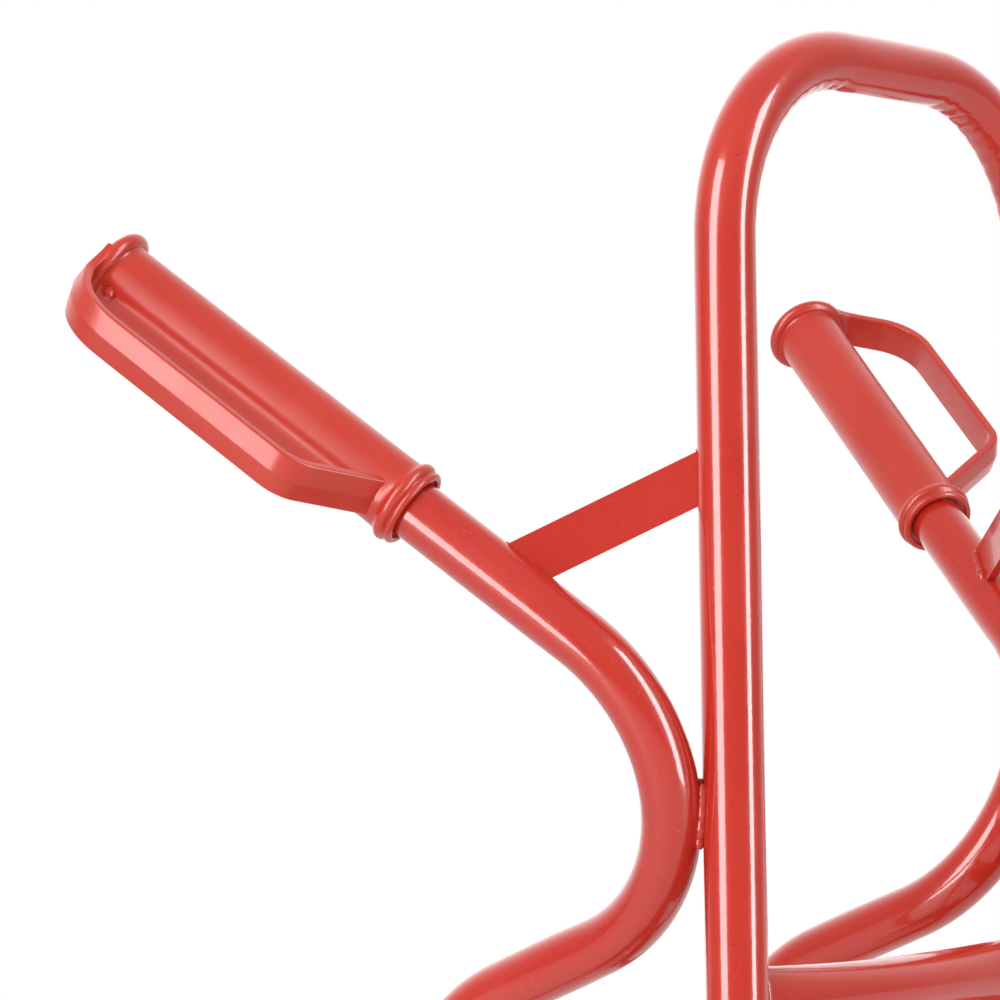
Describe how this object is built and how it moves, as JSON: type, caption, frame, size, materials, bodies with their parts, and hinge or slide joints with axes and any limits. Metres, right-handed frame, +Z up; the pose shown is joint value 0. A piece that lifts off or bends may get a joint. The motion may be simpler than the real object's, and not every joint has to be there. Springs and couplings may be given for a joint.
{
  "type": "hand truck",
  "caption": "Upright hand truck of bent steel tube with a looped back, guarded rear grips, welded cross members, a flat toe plate and pneumatic wheels on a fixed axle.",
  "frame": {"origin": "on the toe plate's underside, in the uprights' centre plane, midway between the two uprights", "axes": "+Z up, +Y towards the load, +X towards the operator's right"},
  "size_m": [0.5488, 0.48, 1.16],
  "materials": {
    "red_paint": "gloss",
    "red_plastic": "satin",
    "rim_paint": "satin",
    "zinc_plate": "satin",
    "bearing_steel": "polished",
    "valve_brass": "satin",
    "tyre_rubber": "matte",
    "butyl_rubber": "matte",
    "black_plastic": "matte"
  },
  "bodies": {
    "frame": {"main_loop": "red_paint", "toe_plate": "red_paint", "axle": "zinc_plate", "crossbar_upper": "red_paint", "crossbar_middle": "red_paint", "crossbar_lower": "red_paint", "handle_tube_right": "red_paint", "upper_brace_right": "red_paint", "lower_brace_right": "red_paint", "axle_bracket_right": "red_paint", "toe_gusset_right": "red_paint", "grip_right": "red_plastic", "bearing_inner_rings_right": "bearing_steel", "bearing_spacer_right": "zinc_plate", "axle_sleeve_right": "zinc_plate", "axle_washer_right": "zinc_plate", "split_pin_right": "zinc_plate", "handle_tube_left": "red_paint", "upper_brace_left": "red_paint", "lower_brace_left": "red_paint", "axle_bracket_left": "red_paint", "toe_gusset_left": "red_paint", "grip_left": "red_plastic", "bearing_inner_rings_left": "bearing_steel", "bearing_spacer_left": "zinc_plate", "axle_sleeve_left": "zinc_plate", "axle_washer_left": "zinc_plate", "split_pin_left": "zinc_plate"},
    "right_wheel": {"tyre_right": "tyre_rubber", "inner_tube_right": "butyl_rubber", "rim_outboard_right": "rim_paint", "rim_inboard_right": "rim_paint", "hub_right": "rim_paint", "bearing_outer_rings_right": "bearing_steel", "bearing_balls_right": "bearing_steel", "bearing_seals_right": "butyl_rubber", "rim_bolts_right": "zinc_plate", "rim_nuts_right": "zinc_plate", "valve_stem_right": "valve_brass", "valve_cap_right": "black_plastic"},
    "left_wheel": {"tyre_left": "tyre_rubber", "inner_tube_left": "butyl_rubber", "rim_outboard_left": "rim_paint", "rim_inboard_left": "rim_paint", "hub_left": "rim_paint", "bearing_outer_rings_left": "bearing_steel", "bearing_balls_left": "bearing_steel", "bearing_seals_left": "butyl_rubber", "rim_bolts_left": "zinc_plate", "rim_nuts_left": "zinc_plate", "valve_stem_left": "valve_brass", "valve_cap_left": "black_plastic"}
  },
  "joints": [
    {"name": "right_wheel_spin", "type": "hinge", "parent": "frame", "child": "right_wheel", "pos_m": [0.1765, -0.12, 0.13], "axis": [1, 0, 0], "continuous": true},
    {"name": "left_wheel_spin", "type": "hinge", "parent": "frame", "child": "left_wheel", "pos_m": [-0.1765, -0.12, 0.13], "axis": [1, 0, 0], "continuous": true}
  ]
}
